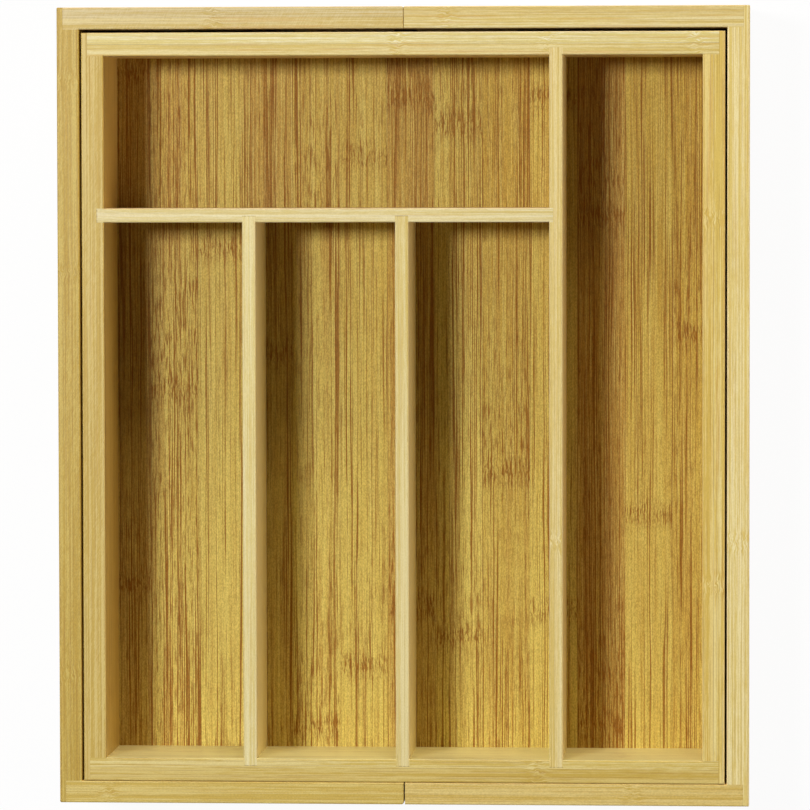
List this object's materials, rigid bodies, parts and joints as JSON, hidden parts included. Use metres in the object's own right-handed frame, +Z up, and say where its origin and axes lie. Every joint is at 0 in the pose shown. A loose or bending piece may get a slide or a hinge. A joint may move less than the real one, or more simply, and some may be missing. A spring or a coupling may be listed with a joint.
{
  "type": "expandable cutlery tray",
  "caption": "Expandable bamboo drawer tray: a divided inner tray for cutlery, between two U-shaped extensions that slide out to the left and the right.",
  "frame": {"origin": "middle of the closed tray's footprint, on the surface that it stands on", "axes": "+X to the right, the way the right extension slides out; +Y to the back, where the wide compartment is; +Z up"},
  "size_m": [0.308, 0.3552, 0.062],
  "materials": {
    "extension_wall_bamboo": "sanded solid bamboo, clear satin lacquer",
    "tray_wall_bamboo": "sanded two-ply laminated bamboo, clear satin lacquer",
    "divider_bamboo": "sanded pale bamboo, clear satin lacquer",
    "floor_bamboo": "bamboo slats glued edge to edge, brown fibre marks, clear satin lacquer",
    "runner_bamboo": "planed bamboo, unlacquered"
  },
  "bodies": {
    "tray": {"tray_floor": "floor_bamboo", "tray_left_wall": "tray_wall_bamboo", "tray_right_wall": "tray_wall_bamboo", "tray_back_wall": "tray_wall_bamboo", "tray_front_wall": "tray_wall_bamboo", "cross_divider": "divider_bamboo", "short_divider_left": "divider_bamboo", "short_divider_right": "divider_bamboo", "long_divider": "divider_bamboo"},
    "left_extension": {"left_side_wall": "extension_wall_bamboo", "left_back_arm": "extension_wall_bamboo", "left_front_arm": "extension_wall_bamboo", "left_floor": "floor_bamboo", "left_back_runner": "runner_bamboo", "left_front_runner": "runner_bamboo"},
    "right_extension": {"right_side_wall": "extension_wall_bamboo", "right_back_arm": "extension_wall_bamboo", "right_front_arm": "extension_wall_bamboo", "right_floor": "floor_bamboo", "right_back_runner": "runner_bamboo", "right_front_runner": "runner_bamboo"}
  },
  "joints": [
    {"name": "left_slide", "type": "slide", "parent": "tray", "child": "left_extension", "axis": [-1, 0, 0], "range_m": [0, 0.085]},
    {"name": "right_slide", "type": "slide", "parent": "tray", "child": "right_extension", "axis": [1, 0, 0], "range_m": [0, 0.085]}
  ]
}
